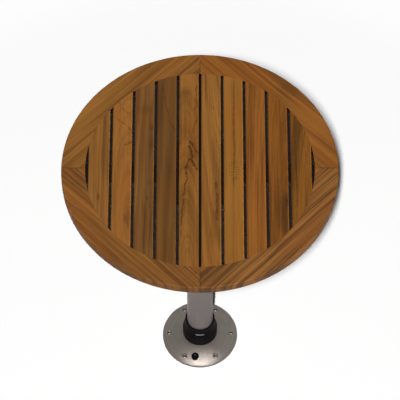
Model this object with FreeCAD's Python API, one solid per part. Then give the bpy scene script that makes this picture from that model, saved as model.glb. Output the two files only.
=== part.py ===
import FreeCAD, Part
import math
import os

# Telescoping pedestal table: a round slatted teak top on a three-stage column that plugs into a
# deck plate. Millimetres, +Z up, origin on the floor under the middle of the deck plate.
# The front is -Y. The column is modelled raised.

# ------------------------------------------------------------------ table top, driving dimensions
table_height = 740.0         # floor to the top face with the column raised
table_diameter = 600.0
board_thickness = 22.0       # slats and ring
board_edge_round = 3.0       # rounding of the rim, top and bottom
ring_width = 52.0
slat_pitch = 48.3
slat_gap = 6.0
slat_arris = 0.8             # chamfer along the long top edges of the slats
crescent_gap = 7.0           # widest gap between an outer slat and the ring
tongue_thickness = 7.0       # tongues on the slat ends, in a groove round the ring
tongue_length = 8.0
glue_gap = 0.2               # gap at every glued wood joint
spline_length = 28.0         # loose splines across the four seams of the ring
spline_width = 24.0
batten_width = 48.0
batten_thickness = 18.0
batten_inset = 18.0          # from the rim to the batten ends
batten_arris = 3.0
pad_size = 162.0             # square pad under the middle, made up by four corner blocks
pad_corner_round = 12.0

# ------------------------------------------------------------------ top bracket
bracket_diameter = 150.0
bracket_thickness = 5.0
bracket_hub_wall = 7.0
bracket_hub_length = 36.0    # below the flange
bracket_roof = 2.0           # metal left above the tube's end
bracket_hub_fillet = 5.0
rib_count = 4
rib_thickness = 5.0
rib_margin = 9.0             # from the flange's rim to the end of a rib
rib_drop = 24.0              # height of a rib at the hub
bracket_screw_inset = 15.0   # from the flange's rim
bracket_screw_count = 8
bracket_screw_radius = 2.4
bracket_screw_head_radius = 4.8
bracket_screw_head_height = 2.8
bracket_screw_crown = 1.4
bracket_screw_bite = 14.0    # depth of thread in the wood
set_screw_radius = 3.0
set_screw_count = 2
screw_inset = 0.1            # headless screws end this far below the surface

# ------------------------------------------------------------------ telescoping column
lower_tube_diameter = 60.3
tube_wall = 2.25
top_bush_wall = 2.45         # of the sleeve between one tube and the next
stage_travel = 150.0         # each stage drops by this much
lower_tube_top = 322.0
clamp_parting = 1.5          # gap left between the clamps, and under the bracket, when collapsed
running_clearance = 0.05     # radial, wherever one piece slides or turns in another
stop_clearance = 0.3         # along an axis, where a stage meets its stop
top_bush_length = 80.0       # sleeve in the mouth of a tube
top_bush_flange = 3.0
glide_sleeve_height = 14.0   # glide round the foot of an inner tube
glide_foot = 5.0
glide_core_wall = 3.0
glide_lead_in = 1.0
key_width = 6.0              # key on a bush that stops the stages turning in each other
keyway_depth = 1.0
key_play = 0.1
clamp_slit_width = 2.0
clamp_slit_length = 30.0

# ------------------------------------------------------------------ clamps
clamp_below_tube_end = 18.0
clamp_above_tube_end = 8.0
clamp_wall = 7.0
clamp_top_slope = 3.0
clamp_edge_round = 1.5
clamp_split = 3.0
clamp_tube_play = 0.6        # round the inner tube, at the clamp's lip
ear_thickness = 7.0
ear_height = 18.0
ear_reach = 9.0              # from the clamp's wall to the bolt
clamp_bolt_radius = 3.0
clamp_bolt_head_radius = 5.0
clamp_bolt_head_height = 5.0
clamp_bolt_socket_depth = 3.0
clamp_bolt_play = 0.1
saddle_radius = 7.5
saddle_thickness = 2.0
cam_radius = 6.5
cam_throw = 0.8
cam_height = 16.0
cam_slot_margin = 1.0        # the bolt's slot runs out this far beyond the cam
barrel_pin_radius = 3.5
lever_thickness = 6.0
lever_height = 12.0
lever_end_angle = 14.0       # round the column, from +X
lever_arc_shift = 3.0        # the lever's arc is struck this far off the column's axis
lever_edge_round = 1.2
lever_swing = 110.0

# ------------------------------------------------------------------ foot of the column
foot_clearance = 1.5         # under the foot plug
foot_shoulder = 3.35         # from the lower tube's surface in to the nose
foot_nose_bore = 10.0
foot_nose_chamfer = 1.0
foot_flange_height = 4.0
foot_journal_height = 18.0
foot_groove_depth = 2.2      # round the journal, for the tips of the foot screws
foot_screw_radius = 2.0
foot_screw_count = 3
foot_screw_play = 0.2

# ------------------------------------------------------------------ deck plate and socket
plate_diameter = 178.0
plate_rim_height = 7.0
plate_rim_round = 3.0
plate_dome_height = 23.0     # flat seat that the collar stands on
plate_edge_chamfer = 1.0
socket_floor = 12.0          # ledge that the foot plug stands on
socket_wall = 2.2            # of the boss round the bush
socket_top = 56.0
nose_play = 0.3
deck_hole_inset = 15.2       # from the rim to the holes' circle
deck_hole_count = 6
deck_hole_radius = 3.5
deck_sink_radius = 6.6
deck_sink_angle = 45.0
bush_wall = 2.1
bush_top = 84.0
bush_lip_step = 2.7          # from the bush's sleeve out to its lip
bush_lead_in = 1.4
collar_wall = 6.0            # round the plate's boss
collar_shoulder = 48.0       # height at which the collar starts to narrow
collar_edge_round = 2.0
seat_margin = 1.0            # flat seat beyond the collar

# ------------------------------------------------------------------ release button and latch
button_inset = 6.3           # from the deck holes' circle to the button's axis
button_angle = -100.0        # round the column, from +X
button_travel = 2.5
guide_radius = 8.8
guide_wall = 2.85
guide_floor = 1.5
guide_stand_out = 3.2        # above the dome
guide_play = 0.1
button_cap_depth = 1.5       # of the cap inside the guide at rest
button_crown = 0.8
button_hollow = 1.5          # in the cap's underside, for the end of the spring
button_play = 0.1
stem_radius = 3.0
stem_play = 0.1
blade_thickness = 4.0
blade_width = 5.0
blade_play = 0.15
latch_width = 12.0
latch_height = 4.6
latch_tail_reach = 7.0       # beyond the button's axis
latch_nose_height = 3.0
latch_nose_length = 5.0
latch_engagement = 2.1
latch_play = 0.3
latch_nose_chamfer = 1.2
cover_thickness = 1.5
cover_ledge = 1.9            # from the nose's bore to the cover's inner end
cover_reach = 15.0           # beyond the button's axis
cover_width = 28.0
cover_corner_round = 3.0
cover_play = 0.1
cover_screw_radius = 1.5
cover_screw_head_radius = 2.6
cover_screw_length = 7.0
cover_screw_inset = 5.0
spring_wire = 0.45           # radius of the wire
spring_radius = 4.2
spring_turns = 3.0

# ------------------------------------------------------------------ sizes that follow
top_radius = table_diameter / 2
ring_inner_radius = top_radius - ring_width
board_bottom = table_height - board_thickness
board_middle = table_height - board_thickness / 2
field_edge = ring_inner_radius - crescent_gap
slats_per_side = max(1, round(field_edge / slat_pitch))
batten_bottom = board_bottom - batten_thickness
flange_bottom = batten_bottom - bracket_thickness
hub_bottom = flange_bottom - bracket_hub_length
upper_tube_top = batten_bottom - bracket_roof
rib_reach = bracket_diameter / 2 - rib_margin
bracket_screw_circle = bracket_diameter / 2 - bracket_screw_inset

stage_step = (tube_wall + top_bush_wall + running_clearance) * 2
middle_tube_diameter = lower_tube_diameter - stage_step
upper_tube_diameter = middle_tube_diameter - stage_step
lower_bore = lower_tube_diameter / 2 - tube_wall
middle_bore = middle_tube_diameter / 2 - tube_wall
clamp_height = clamp_below_tube_end + clamp_above_tube_end
middle_tube_top = lower_tube_top + clamp_height + stage_travel + clamp_parting
stage_overlap = top_bush_length + stop_clearance + glide_sleeve_height
middle_tube_bottom = lower_tube_top - stage_overlap
upper_tube_bottom = middle_tube_top - stage_overlap
ear_outer = clamp_split / 2 + ear_thickness

bush_inner_radius = lower_tube_diameter / 2 + running_clearance
bush_outer_radius = bush_inner_radius + bush_wall
socket_radius = bush_outer_radius + socket_wall
bush_lip_radius = bush_outer_radius + bush_lip_step
collar_radius = socket_radius + collar_wall
foot_nose_radius = lower_tube_diameter / 2 - foot_shoulder
nose_bore_radius = foot_nose_radius + nose_play
foot_flange_top = socket_floor + foot_flange_height
foot_top = foot_flange_top + foot_journal_height
foot_screw_height = foot_flange_top + foot_journal_height / 2
foot_groove_half = foot_screw_radius + foot_screw_play

plate_radius = plate_diameter / 2
seat_radius = collar_radius + seat_margin
dome_start = plate_radius - plate_rim_round
deck_hole_circle = plate_radius - deck_hole_inset
button_circle = deck_hole_circle - button_inset
latch_bottom = cover_thickness + latch_play
latch_top = latch_bottom + latch_height
slot_ceiling = latch_top + latch_play
latch_nose_tip = foot_nose_radius - latch_engagement
latch_tail = button_circle + latch_tail_reach
cover_inner = nose_bore_radius + cover_ledge
cover_outer = button_circle + cover_reach
blade_top = latch_top + button_travel + latch_play
blade_tip = latch_bottom + button_travel + latch_play
guide_bottom = blade_top + latch_play * 2
guide_bore = guide_radius - guide_wall
button_radius = guide_bore - button_play

# The dome is a spherical cap through the rim and the collar's seat.
dome_rise = plate_dome_height - plate_rim_height
seat_depth = ((dome_start ** 2 - seat_radius ** 2) / dome_rise + dome_rise) / 2
dome_radius = math.hypot(seat_depth, seat_radius)
dome_centre = plate_dome_height - seat_depth


def dome_height(radius):
    """Height of the deck plate's dome at a distance from the axis."""
    return dome_centre + math.sqrt(dome_radius ** 2 - radius ** 2)


guide_top = dome_height(button_circle) + guide_stand_out
cap_bottom = guide_top - button_cap_depth
cap_top = guide_top + button_travel
hollow_roof = cap_bottom + button_hollow


# ------------------------------------------------------------------ helpers
def at(x, y, z=0.0):
    return FreeCAD.Vector(x, y, z)


def polar(radius, angle, z=0.0):
    turn = math.radians(angle)
    return at(radius * math.cos(turn), radius * math.sin(turn), z)


def box(x0, x1, y0, y1, z0, z1):
    """Box between two corners."""
    return Part.makeBox(x1 - x0, y1 - y0, z1 - z0, at(x0, y0, z0))


def rod(radius, z0, z1, centre=None):
    """Upright cylinder."""
    foot = centre or at(0, 0)
    return Part.makeCylinder(radius, z1 - z0, at(foot.x, foot.y, z0))


def revolved(points):
    """Solid of revolution round Z from a closed outline of (radius, height) corners.

    An entry with four numbers is an arc: a point that it passes and the point where it ends.
    """
    edges = []
    here = at(points[0][0], 0, points[0][1])
    for entry in points[1:] + points[:1]:
        end = at(entry[-2], 0, entry[-1])
        if len(entry) == 4:
            edges.append(Part.Arc(here, at(entry[0], 0, entry[1]), end).toShape())
        else:
            edges.append(Part.LineSegment(here, end).toShape())
        here = end
    return Part.Face(Part.Wire(edges)).revolve(at(0, 0), at(0, 0, 1), 360)


def tube(outer, inner, z0, z1):
    return rod(outer, z0, z1).cut(rod(inner, z0, z1))


def prism(outline, depth):
    """Solid from a closed polygon of vectors, pushed along a vector."""
    return Part.Face(Part.makePolygon(outline + outline[:1])).extrude(depth)


def sector(centre, radius, start, end, z0, z1):
    """Upright wedge of a disc between two angles."""
    wedge = Part.makeCylinder(radius, z1 - z0, at(centre.x, centre.y, z0), at(0, 0, 1), end - start)
    wedge.rotate(centre, at(0, 0, 1), start)
    return wedge


def turned(shape, angle, centre=None):
    """Copy of a shape, turned about an upright axis."""
    copy = shape.copy()
    copy.rotate(centre or at(0, 0), at(0, 0, 1), angle)
    return copy


def ring_of(shape, count, start=0.0):
    """Copies of a shape, evenly spaced round the Z axis."""
    return [turned(shape, start + 360.0 * i / count) for i in range(count)]


def edges_where(shape, test):
    return [edge for edge in shape.Edges if test(edge)]


def is_level(edge, height):
    bound = edge.BoundBox
    return abs(bound.ZMin - height) < 1e-4 and abs(bound.ZMax - height) < 1e-4


def one_solid(shape):
    """The single clean solid of a boolean result."""
    clean = shape.removeSplitter()
    if len(clean.Solids) != 1:
        raise ValueError("expected one solid, found %d" % len(clean.Solids))
    return clean.Solids[0]


def save(name, *solids):
    """Write one node; a group of like pieces stays a group of separate solids."""
    shape = solids[0] if len(solids) == 1 else Part.makeCompound(list(solids))
    if not shape.isValid():
        raise ValueError(name + " is not valid")
    shape.exportStep("parts/%s.step" % name)


# ------------------------------------------------------------------ table top
def make_ring_quadrants():
    """Four quarter rings with a rounded rim and a groove for the slat tongues."""
    groove_floor = ring_inner_radius + tongue_length + glue_gap
    groove_low = board_middle - tongue_thickness / 2 - glue_gap / 2
    groove_high = board_middle + tongue_thickness / 2 + glue_gap / 2
    bend = board_edge_round * (1 - math.sqrt(0.5))
    ring = revolved([
        (ring_inner_radius, board_bottom),
        (top_radius - board_edge_round, board_bottom),
        (top_radius - bend, board_bottom + bend, top_radius, board_bottom + board_edge_round),
        (top_radius, table_height - board_edge_round),
        (top_radius - bend, table_height - bend, top_radius - board_edge_round, table_height),
        (ring_inner_radius, table_height),
        (ring_inner_radius, groove_high),
        (groove_floor, groove_high),
        (groove_floor, groove_low),
        (ring_inner_radius, groove_low),
    ])
    for slot in ring_of(make_spline(glue_gap), 4):
        ring = ring.cut(slot)
    quarter = box(glue_gap / 2, top_radius, glue_gap / 2, top_radius, board_bottom, table_height)
    return [one_solid(ring.common(turned(quarter, angle))) for angle in (0, 90, 180, 270)]


def make_spline(grow=0.0):
    """Loose spline across the seam on the +X side; grow widens it to its slot."""
    middle = (ring_inner_radius + tongue_length + top_radius) / 2
    half_width = (spline_width + grow) / 2
    half_length = (spline_length + grow) / 2
    half_height = (tongue_thickness + grow) / 2
    return box(middle - half_width, middle + half_width, -half_length, half_length,
               board_middle - half_height, board_middle + half_height)


def make_slats():
    """Slats from left to right; their ends follow the ring and carry tongues."""
    disc = rod(ring_inner_radius - glue_gap, board_bottom, table_height)
    tongue_disc = rod(ring_inner_radius + tongue_length,
                      board_middle - tongue_thickness / 2, board_middle + tongue_thickness / 2)
    slats = []
    for i in range(-slats_per_side, slats_per_side):
        left = i * slat_pitch + slat_gap / 2
        right = (i + 1) * slat_pitch - slat_gap / 2
        if i == -slats_per_side:
            left = -field_edge
        if i == slats_per_side - 1:
            right = field_edge
        strip = box(left, right, -top_radius, top_radius, board_bottom, table_height)
        body = strip.common(disc)
        long_edges = edges_where(body, lambda e: is_level(e, table_height) and e.BoundBox.XLength < 1e-4)
        body = body.makeChamfer(slat_arris, long_edges)
        slats.append(one_solid(body.fuse(strip.common(tongue_disc))))
    return slats


def make_batten(lap_side):
    """Batten along X, half lapped over the other one; lap_side is +1 if it keeps its upper half."""
    half = batten_width / 2
    reach = top_radius - batten_inset
    blank = box(-reach, reach, -half, half, batten_bottom, board_bottom)
    blank = blank.common(rod(reach, batten_bottom, board_bottom))
    low_edges = edges_where(blank, lambda e: is_level(e, batten_bottom) and e.BoundBox.YLength < 1e-4)
    blank = blank.makeChamfer(batten_arris, low_edges)
    lap_middle = batten_bottom + batten_thickness / 2
    notch_half = half + glue_gap
    if lap_side > 0:
        notch = box(-notch_half, notch_half, -half, half, batten_bottom, lap_middle + glue_gap / 2)
    else:
        notch = box(-notch_half, notch_half, -half, half, lap_middle - glue_gap / 2, board_bottom)
    return blank.cut(notch)


def make_mounting_blocks():
    """Four blocks in the corners of the crossed battens that make up the bracket's pad."""
    near = batten_width / 2 + glue_gap
    far = pad_size / 2
    block = box(near, far, near, far, batten_bottom, board_bottom)
    corner = edges_where(block, lambda e: abs(e.BoundBox.XMin - far) < 1e-4
                         and abs(e.BoundBox.YMin - far) < 1e-4 and e.BoundBox.ZLength > 1)
    return ring_of(block.makeFillet(pad_corner_round, corner), 4)


def make_bracket_screw(grow=0.0):
    """Pan-head screw on the +X side; grow widens the shank to its hole."""
    shank = bracket_screw_radius + grow
    tip = batten_bottom + bracket_screw_bite + grow
    head_low = flange_bottom - bracket_screw_head_height
    screw = revolved([
        (0, head_low),
        (bracket_screw_head_radius - bracket_screw_crown, head_low),
        (bracket_screw_head_radius, head_low + bracket_screw_crown),
        (bracket_screw_head_radius, flange_bottom),
        (shank, flange_bottom),
        (shank, tip),
        (0, tip),
    ])
    screw.translate(at(bracket_screw_circle, 0))
    return screw


def make_set_screw():
    """Set screw on the +Y side of the bracket's hub, bearing on the tube."""
    start = at(0, upper_tube_diameter / 2, hub_bottom + bracket_hub_length / 3)
    return Part.makeCylinder(set_screw_radius, bracket_hub_wall - screw_inset, start, at(0, 1, 0))


def make_bracket():
    """Flange and ribbed hub that join the top to the upper tube."""
    bore = upper_tube_diameter / 2
    hub = bore + bracket_hub_wall
    flange = bracket_diameter / 2
    bend = bracket_hub_fillet * (1 - math.sqrt(0.5))
    body = revolved([
        (0, batten_bottom),
        (flange, batten_bottom),
        (flange, flange_bottom),
        (hub + bracket_hub_fillet, flange_bottom),
        (hub + bend, flange_bottom - bend, hub, flange_bottom - bracket_hub_fillet),
        (hub, hub_bottom),
        (bore, hub_bottom),
        (bore, upper_tube_top),
        (0, upper_tube_top),
    ])
    rib = prism([
        at(bore + bracket_hub_wall / 2, -rib_thickness / 2, flange_bottom),
        at(rib_reach, -rib_thickness / 2, flange_bottom),
        at(bore + bracket_hub_wall, -rib_thickness / 2, flange_bottom - rib_drop),
        at(bore + bracket_hub_wall / 2, -rib_thickness / 2, flange_bottom - rib_drop),
    ], at(0, rib_thickness, 0))
    for piece in ring_of(rib, rib_count, 180.0 / bracket_screw_count):
        body = body.fuse(piece)
    for hole in ring_of(make_bracket_screw(running_clearance), bracket_screw_count):
        body = body.cut(hole)
    for hole in ring_of(make_set_screw(), set_screw_count):
        body = body.cut(hole)
    return one_solid(body)


def make_table_top():
    names = ("ring_rear_right", "ring_rear_left", "ring_front_left", "ring_front_right")
    for name, quadrant in zip(names, make_ring_quadrants()):
        save(name, quadrant)
    for number, slat in enumerate(make_slats(), 1):
        save("slat_%02d" % number, slat)
    save("ring_splines", *ring_of(make_spline(), 4))

    pilots = ring_of(make_bracket_screw(running_clearance), bracket_screw_count)
    cross_batten = make_batten(1)
    long_batten = turned(make_batten(-1), 90)
    blocks = make_mounting_blocks()
    for pilot in pilots:
        cross_batten = cross_batten.cut(pilot)
        long_batten = long_batten.cut(pilot)
        blocks = [block.cut(pilot) for block in blocks]
    save("cross_batten", one_solid(cross_batten))
    save("long_batten", one_solid(long_batten))
    save("mounting_blocks", *[one_solid(block) for block in blocks])
    save("top_bracket", make_bracket())
    save("bracket_screws", *ring_of(make_bracket_screw(), bracket_screw_count))
    save("bracket_set_screws", *ring_of(make_set_screw(), set_screw_count))


# ------------------------------------------------------------------ column
def cut_keyway(pipe, outer, z0, z1):
    """Keyway down the back of an inner tube."""
    floor = outer - keyway_depth
    return pipe.cut(box(-key_width / 2, key_width / 2, floor, outer + keyway_depth, z0, z1))


def cut_clamp_slits(pipe, outer, top):
    """Four slits that let the clamp squeeze the mouth of a tube."""
    half = clamp_slit_width / 2
    low = top - clamp_slit_length
    return pipe.cut(box(-outer, outer, -half, half, low, top)).cut(box(-half, half, -outer, outer, low, top))


def make_top_bush(outer_diameter, inner_diameter, top):
    """Flanged sleeve in the mouth of a tube, slit at the front, with a key at the back."""
    bore = inner_diameter / 2 + running_clearance
    sleeve = outer_diameter / 2 - tube_wall
    body = revolved([
        (bore, top - top_bush_length),
        (sleeve, top - top_bush_length),
        (sleeve, top),
        (outer_diameter / 2, top),
        (outer_diameter / 2, top + top_bush_flange),
        (bore, top + top_bush_flange),
    ])
    half = clamp_slit_width / 2
    body = body.cut(box(-half, half, -outer_diameter, 0, top - top_bush_length, top + top_bush_flange))
    key_half = key_width / 2 - key_play
    key_foot = inner_diameter / 2 - keyway_depth + key_play
    key_root = (bore + sleeve) / 2
    key = box(-key_half, key_half, key_foot, key_root, top - top_bush_length, top + top_bush_flange)
    return one_solid(body.fuse(key))


def make_foot_glide(inner_diameter, outer_bore, bottom):
    """Glide on the foot of an inner tube: it grips the tube's end and runs in the outer tube."""
    run = outer_bore - running_clearance
    skin = inner_diameter / 2
    core = skin - tube_wall
    core_bore = core - glide_core_wall
    return revolved([
        (core_bore, bottom - glide_foot),
        (run - glide_lead_in, bottom - glide_foot),
        (run, bottom - glide_foot + glide_lead_in),
        (run, bottom + glide_sleeve_height),
        (skin, bottom + glide_sleeve_height),
        (skin, bottom),
        (core, bottom),
        (core, bottom + glide_sleeve_height),
        (core_bore, bottom + glide_sleeve_height),
    ])


def make_clamp(name, tube_diameter, inner_diameter, tube_top):
    """Split clamp collar on a tube's mouth, with its bolt, saddle, barrel pin and cam lever."""
    bolt_y = -(tube_diameter / 2 + clamp_wall + ear_reach)
    middle = tube_top + (clamp_above_tube_end - clamp_below_tube_end) / 2
    save(name + "_clamp_collar", make_clamp_collar(tube_diameter, inner_diameter, tube_top, bolt_y))

    pivot_x = ear_outer + saddle_thickness + cam_radius + cam_throw + running_clearance
    pivot = at(pivot_x, bolt_y, middle)
    head_start = -ear_outer - clamp_bolt_head_height
    head = cross_rod(clamp_bolt_head_radius, head_start, -ear_outer, bolt_y, middle)
    shank = cross_rod(clamp_bolt_radius, -ear_outer, pivot_x, bolt_y, middle)
    bolt = one_solid(head.fuse(shank).cut(hex_socket(head_start, bolt_y, middle)))
    save(name + "_clamp_bolt", bolt)

    saddle = cross_rod(saddle_radius, ear_outer, ear_outer + saddle_thickness, bolt_y, middle)
    bolt_hole = cross_rod(clamp_bolt_radius + clamp_bolt_play, 0, pivot_x, bolt_y, middle)
    save(name + "_clamp_saddle", one_solid(saddle.cut(bolt_hole)))

    pin = rod(barrel_pin_radius, middle - cam_height / 2, middle + cam_height / 2, pivot)
    save(name + "_clamp_pin", one_solid(pin.cut(bolt)))
    save(name + "_clamp_lever", make_lever(pivot))


def cross_rod(radius, x0, x1, y, z):
    """Cylinder along X."""
    return Part.makeCylinder(radius, x1 - x0, at(x0, y, z), at(1, 0, 0))


def hex_socket(x, y, z):
    """Hexagon socket in a bolt head that faces -X."""
    across = clamp_bolt_head_radius / 2
    corners = [at(x, y + across * math.cos(math.radians(60 * i)), z + across * math.sin(math.radians(60 * i)))
               for i in range(6)]
    return prism(corners, at(clamp_bolt_socket_depth, 0, 0))


def make_clamp_collar(tube_diameter, inner_diameter, tube_top, bolt_y):
    low = tube_top - clamp_below_tube_end
    high = tube_top + clamp_above_tube_end
    middle = (low + high) / 2
    wall = tube_diameter / 2 + clamp_wall
    lip = inner_diameter / 2 + clamp_tube_play
    step = tube_top + top_bush_flange
    ring = revolved([
        (0, low),
        (wall - clamp_edge_round, low),
        (wall, low + clamp_edge_round),
        (wall, high - clamp_top_slope),
        (wall - clamp_top_slope, high),
        (0, high),
    ])
    ear_low = middle - ear_height / 2
    ear_high = middle + ear_height / 2
    ear = box(-ear_outer, ear_outer, bolt_y, 0, ear_low, ear_high)
    nose = cross_rod(ear_height / 2, -ear_outer, ear_outer, bolt_y, middle)
    collar = ring.fuse(ear).fuse(nose)
    collar = collar.cut(rod(tube_diameter / 2, low, step)).cut(rod(lip, step, high))
    collar = collar.cut(box(-clamp_split / 2, clamp_split / 2, bolt_y - ear_height, 0, low, high))
    bolt_hole = cross_rod(clamp_bolt_radius + clamp_bolt_play, -ear_outer, ear_outer, bolt_y, middle)
    return one_solid(collar.cut(bolt_hole))


def make_lever(pivot):
    """Cam lever: an eccentric head on the barrel pin and an arm that wraps round the collar."""
    low = pivot.z - cam_height / 2
    high = pivot.z + cam_height / 2
    arm_low = pivot.z - lever_height / 2
    arm_high = pivot.z + lever_height / 2
    hub = at(pivot.x, pivot.y)
    strike = at(-lever_arc_shift, -lever_arc_shift)
    reach = hub.distanceToPoint(strike)
    start = math.degrees(math.atan2(hub.y - strike.y, hub.x - strike.x))

    half = lever_thickness / 2
    arm = sector(strike, reach + half, start, lever_end_angle, arm_low, arm_high)
    arm = arm.cut(rod(reach - half, arm_low, arm_high, strike))
    for end in (start, lever_end_angle):
        arm = arm.fuse(rod(half, arm_low, arm_high, strike + polar(reach, end)))
    arm = one_solid(arm)
    head = rod(cam_radius, low, high, hub + at(-cam_throw, 0))
    rims = edges_where(arm, lambda e: is_level(e, arm_low) or is_level(e, arm_high))
    lever = arm.makeFillet(lever_edge_round, rims).fuse(head)

    slot_low = pivot.z - clamp_bolt_radius - clamp_bolt_play * 2
    slot_high = pivot.z + clamp_bolt_radius + clamp_bolt_play * 2
    slot_reach = cam_radius + cam_throw + cam_slot_margin
    slot_half = clamp_bolt_radius + clamp_bolt_play * 2
    slot = sector(hub, slot_reach, 180, 180 + lever_swing, slot_low, slot_high)
    channel = box(hub.x, hub.x + slot_reach, hub.y - slot_half, hub.y + slot_half, slot_low, slot_high)
    lever = lever.cut(slot).cut(turned(channel, 180, hub)).cut(turned(channel, 180 + lever_swing, hub))
    return one_solid(lever.cut(rod(barrel_pin_radius + running_clearance, low, high, hub)))


def make_foot_plug():
    """Turned plug that stands in the socket; the lower tube turns on its journal."""
    flange = lower_tube_diameter / 2
    journal = lower_bore - running_clearance
    waist = journal - foot_groove_depth
    latch_groove = foot_nose_radius - latch_engagement - nose_play
    groove_low = latch_top - latch_nose_height - latch_play / 2
    groove_high = latch_top + latch_play / 2
    return revolved([
        (foot_nose_bore, foot_clearance),
        (foot_nose_radius - foot_nose_chamfer, foot_clearance),
        (foot_nose_radius, foot_clearance + foot_nose_chamfer),
        (foot_nose_radius, groove_low),
        (latch_groove, groove_low),
        (latch_groove, groove_high),
        (foot_nose_radius, groove_high),
        (foot_nose_radius, socket_floor),
        (flange, socket_floor),
        (flange, foot_flange_top),
        (journal, foot_flange_top),
        (journal, foot_screw_height - foot_groove_half),
        (waist, foot_screw_height - foot_groove_half),
        (waist, foot_screw_height + foot_groove_half),
        (journal, foot_screw_height + foot_groove_half),
        (journal, foot_top),
        (foot_nose_bore, foot_top),
    ])


def make_foot_screw():
    """Grub screw on the +Y side of the lower tube; its tip runs in the plug's groove."""
    tip = lower_bore - running_clearance - foot_groove_depth + foot_screw_play
    length = lower_tube_diameter / 2 - screw_inset - tip
    return Part.makeCylinder(foot_screw_radius, length, at(0, tip, foot_screw_height), at(0, 1, 0))


def make_column():
    foot_screws = ring_of(make_foot_screw(), foot_screw_count)
    lower_radius = lower_tube_diameter / 2
    lower_tube = cut_clamp_slits(tube(lower_radius, lower_bore, foot_flange_top, lower_tube_top),
                                 lower_radius, lower_tube_top)
    for screw in foot_screws:
        lower_tube = lower_tube.cut(screw)
    save("foot_plug", make_foot_plug())
    save("foot_screws", *foot_screws)
    save("lower_tube", one_solid(lower_tube))
    save("lower_top_bush", make_top_bush(lower_tube_diameter, middle_tube_diameter, lower_tube_top))
    make_clamp("lower", lower_tube_diameter, middle_tube_diameter, lower_tube_top)

    middle_radius = middle_tube_diameter / 2
    middle_tube = tube(middle_radius, middle_bore, middle_tube_bottom, middle_tube_top)
    middle_tube = cut_keyway(middle_tube, middle_radius, middle_tube_bottom, middle_tube_top)
    save("middle_tube", one_solid(cut_clamp_slits(middle_tube, middle_radius, middle_tube_top)))
    save("middle_foot_glide", make_foot_glide(middle_tube_diameter, lower_bore, middle_tube_bottom))
    save("middle_top_bush", make_top_bush(middle_tube_diameter, upper_tube_diameter, middle_tube_top))
    make_clamp("middle", middle_tube_diameter, upper_tube_diameter, middle_tube_top)

    upper_radius = upper_tube_diameter / 2
    upper_tube = tube(upper_radius, upper_radius - tube_wall, upper_tube_bottom, upper_tube_top)
    save("upper_tube", one_solid(cut_keyway(upper_tube, upper_radius, upper_tube_bottom, hub_bottom)))
    save("upper_foot_glide", make_foot_glide(upper_tube_diameter, middle_bore, upper_tube_bottom))


# ------------------------------------------------------------------ deck plate, latch and button
def along_latch(shape):
    """Turn a piece that is laid out along +X to the direction of the button."""
    return turned(shape, button_angle)


def make_latch_pocket():
    """Room in the plate for the latch, its cover, the button's guide and its blade."""
    slot_half = (latch_width + latch_play) / 2
    slot_end = latch_tail + button_travel + latch_play
    slot = box(0, slot_end, -slot_half, slot_half, 0, slot_ceiling)
    centre = at(button_circle, 0)
    well = rod(guide_radius + guide_play, guide_bottom, guide_top + guide_radius, centre)
    throat = rod(guide_radius - guide_floor, slot_ceiling, guide_bottom, centre)
    return along_latch(slot.fuse(make_cover_blank(cover_play)).fuse(well).fuse(throat))


def make_cover_blank(grow=0.0):
    half = cover_width / 2 + grow
    blank = box(cover_inner - grow, cover_outer + grow, -half, half, 0, cover_thickness + grow)
    corners = edges_where(blank, lambda e: e.BoundBox.ZLength > cover_thickness / 2)
    return blank.makeFillet(cover_corner_round, corners)


def make_cover_screws(grow=0.0):
    """Four countersunk screws at the corners of the cover; grow widens them to their holes."""
    screws = []
    sink = cover_screw_head_radius - cover_screw_radius
    for x in (cover_inner + cover_screw_inset, cover_outer - cover_screw_inset):
        for y in (-cover_width / 2 + cover_screw_inset, cover_width / 2 - cover_screw_inset):
            shank = rod(cover_screw_radius + grow, 0, cover_screw_length + grow, at(x, y))
            head = Part.makeCone(cover_screw_head_radius + grow, cover_screw_radius + grow, sink, at(x, y, 0))
            screws.append(one_solid(shank.fuse(head)))
    return screws


def make_plate():
    """Domed deck plate with an upstanding boss, countersunk deck holes and the latch's pocket."""
    bend = plate_rim_round * (1 - math.sqrt(0.5))
    middle_radius = (dome_start + seat_radius) / 2
    plate = revolved([
        (nose_bore_radius, 0),
        (plate_radius - plate_edge_chamfer, 0),
        (plate_radius, plate_edge_chamfer),
        (plate_radius, plate_rim_height - plate_rim_round),
        (plate_radius - bend, plate_rim_height - bend, dome_start, plate_rim_height),
        (middle_radius, dome_height(middle_radius), seat_radius, plate_dome_height),
        (socket_radius, plate_dome_height),
        (socket_radius, socket_top),
        (bush_outer_radius, socket_top),
        (bush_outer_radius, socket_floor),
        (nose_bore_radius, socket_floor),
    ])
    for hole in ring_of(make_deck_hole(), deck_hole_count):
        plate = plate.cut(hole)
    plate = plate.cut(make_latch_pocket())
    for screw in make_cover_screws(running_clearance):
        plate = plate.cut(along_latch(screw))
    return one_solid(plate)


def make_deck_hole():
    """Countersunk hole on the +X side, spot faced where the dome rises beside it."""
    centre = at(deck_hole_circle, 0)
    face = dome_height(deck_hole_circle)
    sink = (deck_sink_radius - deck_hole_radius) / math.tan(math.radians(deck_sink_angle))
    shank = rod(deck_hole_radius, 0, face, centre)
    cone = Part.makeCone(deck_hole_radius, deck_sink_radius, sink, at(deck_hole_circle, 0, face - sink))
    return shank.fuse(cone).fuse(rod(deck_sink_radius, face, face + deck_sink_radius, centre))


def make_base_bush():
    """Plain bearing in the socket, with a lip that stands above the collar."""
    return revolved([
        (bush_inner_radius, socket_floor + foot_flange_height),
        (bush_outer_radius, socket_floor + foot_flange_height),
        (bush_outer_radius, socket_top),
        (bush_lip_radius, socket_top),
        (bush_lip_radius, bush_top - bush_lead_in),
        (bush_lip_radius - bush_lead_in, bush_top),
        (bush_inner_radius + bush_lead_in, bush_top),
        (bush_inner_radius, bush_top - bush_lead_in * 2),
    ])


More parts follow.
